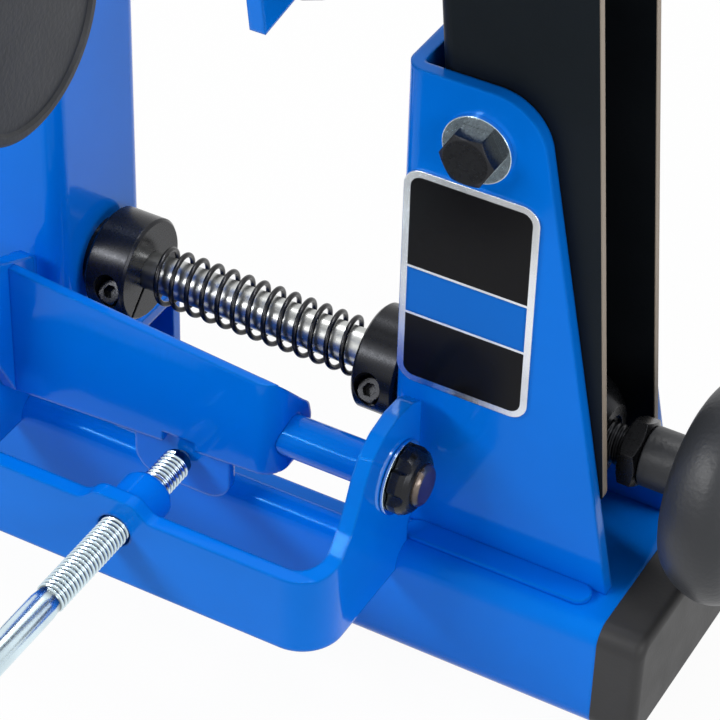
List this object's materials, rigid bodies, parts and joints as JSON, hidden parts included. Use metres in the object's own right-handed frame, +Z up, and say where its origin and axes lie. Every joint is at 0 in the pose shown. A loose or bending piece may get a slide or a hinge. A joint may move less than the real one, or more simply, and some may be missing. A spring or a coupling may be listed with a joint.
{
  "type": "bicycle wheel truing stand",
  "caption": "Bench stand for truing bicycle wheels: hinged channel uprights, a cross shaft with collars and spring, and a screw-set caliper arm on a box base.",
  "frame": {"origin": "middle of the base's underside, below the cross shaft", "axes": "+X to the right along the base towards the shaft's knob, +Y to the back, +Z up"},
  "size_m": [0.313, 0.2377, 0.4886],
  "materials": {
    "blue_paint": "glossy blue paint",
    "cap_plastic": "dark moulded plastic, satin",
    "knob_plastic": "dark grey moulded plastic, satin",
    "black_powder_coat": "black powder coat, fine grain",
    "black_oxide": "black oxide, slightly worn",
    "bright_steel": "plain machined steel",
    "zinc_plate": "bright zinc plate",
    "rod_finish": "blue paint between the ears, plain bronze-coloured ends outside them",
    "spring_steel": "dark oiled spring wire",
    "plate_foil": "printed metal foil with a silver border, no lettering"
  },
  "bodies": {
    "stand": {"base_beam": "blue_paint", "end_cap_left": "cap_plastic", "end_cap_right": "cap_plastic", "bracket_left": "blue_paint", "bracket_right": "blue_paint", "weld_beads": "blue_paint", "name_plate": "plate_foil", "pivot_bolts": "black_oxide", "pivot_washers": "zinc_plate", "pivot_nuts": "black_oxide", "shaft_bush_left": "black_oxide", "shaft_bush_right": "black_oxide", "front_yoke": "blue_paint", "screw_boss": "blue_paint"},
    "shaft": {"cross_shaft": "bright_steel", "collar_left": "black_oxide", "collar_right": "black_oxide", "collar_screws": "black_oxide", "shaft_spring": "spring_steel", "jam_nut": "black_oxide", "shaft_knob": "knob_plastic"},
    "upright_right": {"upright_right": "black_powder_coat", "dropout_right": "bright_steel", "dropout_screw_right": "bright_steel"},
    "upright_left": {"upright_left": "black_powder_coat", "dropout_left": "bright_steel", "dropout_screw_left": "bright_steel"},
    "nut_right": {"ball_nut_right": "black_oxide"},
    "nut_left": {"ball_nut_left": "black_oxide"},
    "arm": {"caliper_arm": "blue_paint", "arm_leg": "blue_paint", "pivot_rod": "rod_finish", "pivot_spacers": "zinc_plate", "push_nuts": "black_oxide"},
    "pad": {"screw_pad": "bright_steel"},
    "arm_screw": {"arm_screw": "zinc_plate", "arm_screw_knob": "knob_plastic"},
    "clamp": {"clamp_knob": "knob_plastic", "clamp_nut": "black_oxide"},
    "head": {"head_frame": "blue_paint", "guide_rail": "bright_steel"},
    "lead": {"lead_screw": "bright_steel", "lead_knob": "knob_plastic"},
    "finger_right": {"caliper_right": "bright_steel"},
    "finger_left": {"caliper_left": "bright_steel"}
  },
  "joints": [
    {"name": "shaft_spin", "type": "hinge", "parent": "stand", "child": "shaft", "pos_m": [0, 0, 0.0753], "axis": [1, 0, 0], "range_deg": [-600, 2700]},
    {"name": "upright_right_lean", "type": "hinge", "parent": "stand", "child": "upright_right", "pos_m": [0.0794, 0, 0.1778], "axis": [0, 1, 0], "range_deg": [-1.5, 7]},
    {"name": "upright_left_lean", "type": "hinge", "parent": "stand", "child": "upright_left", "pos_m": [-0.0794, 0, 0.1778], "axis": [0, 1, 0], "range_deg": [-7, 1.5]},
    {"name": "nut_right_travel", "type": "slide", "parent": "stand", "child": "nut_right", "axis": [1, 0, 0], "range_m": [-0.0125, 0.0027]},
    {"name": "nut_left_travel", "type": "slide", "parent": "stand", "child": "nut_left", "axis": [1, 0, 0], "range_m": [-0.0027, 0.0125]},
    {"name": "arm_swing", "type": "hinge", "parent": "stand", "child": "arm", "pos_m": [0, -0.0385, 0.0695], "axis": [1, 0, 0], "range_deg": [-4, 50]},
    {"name": "pad_travel", "type": "slide", "parent": "stand", "child": "pad", "axis": [0, 1, 0], "range_m": [-0.0013, 0.0147]},
    {"name": "arm_screw_turn", "type": "hinge", "parent": "pad", "child": "arm_screw", "pos_m": [0, -0.1, 0.0516], "axis": [0, 1, 0], "range_deg": [-255, 3250]},
    {"name": "clamp_turn", "type": "hinge", "parent": "arm", "child": "clamp", "pos_m": [-0.055, -0.06, 0.197], "axis": [1, 0, 0], "range_deg": [-180, 180]},
    {"name": "head_tilt", "type": "hinge", "parent": "arm", "child": "head", "pos_m": [-0.055, -0.06, 0.197], "axis": [1, 0, 0], "range_deg": [-16, 30]},
    {"name": "lead_turn", "type": "hinge", "parent": "head", "child": "lead", "pos_m": [0, -0.07101, 0.26208], "axis": [1, 0, 0], "range_deg": [-3200, 2620]},
    {"name": "finger_right_travel", "type": "slide", "parent": "head", "child": "finger_right", "axis": [1, 0, 0], "range_m": [-0.011, 0.009]},
    {"name": "finger_left_travel", "type": "slide", "parent": "head", "child": "finger_left", "axis": [1, 0, 0], "range_m": [-0.0092, 0.0112]}
  ],
  "couplings": [
    {"joint": "nut_right_travel", "follows": "shaft_spin", "m_per_rad": -0.0002527},
    {"joint": "nut_left_travel", "follows": "shaft_spin", "m_per_rad": 0.0002527},
    {"joint": "upright_right_lean", "follows": "shaft_spin", "ratio": 0.0024654},
    {"joint": "upright_left_lean", "follows": "shaft_spin", "ratio": -0.0024654},
    {"joint": "pad_travel", "follows": "arm_screw_turn", "m_per_rad": 0.0002527},
    {"joint": "arm_swing", "follows": "arm_screw_turn", "ratio": 0.015223},
    {"joint": "lead_turn", "follows": "finger_right_travel", "rad_per_m": 5026.6},
    {"joint": "finger_left_travel", "follows": "finger_right_travel", "ratio": -1}
  ]
}
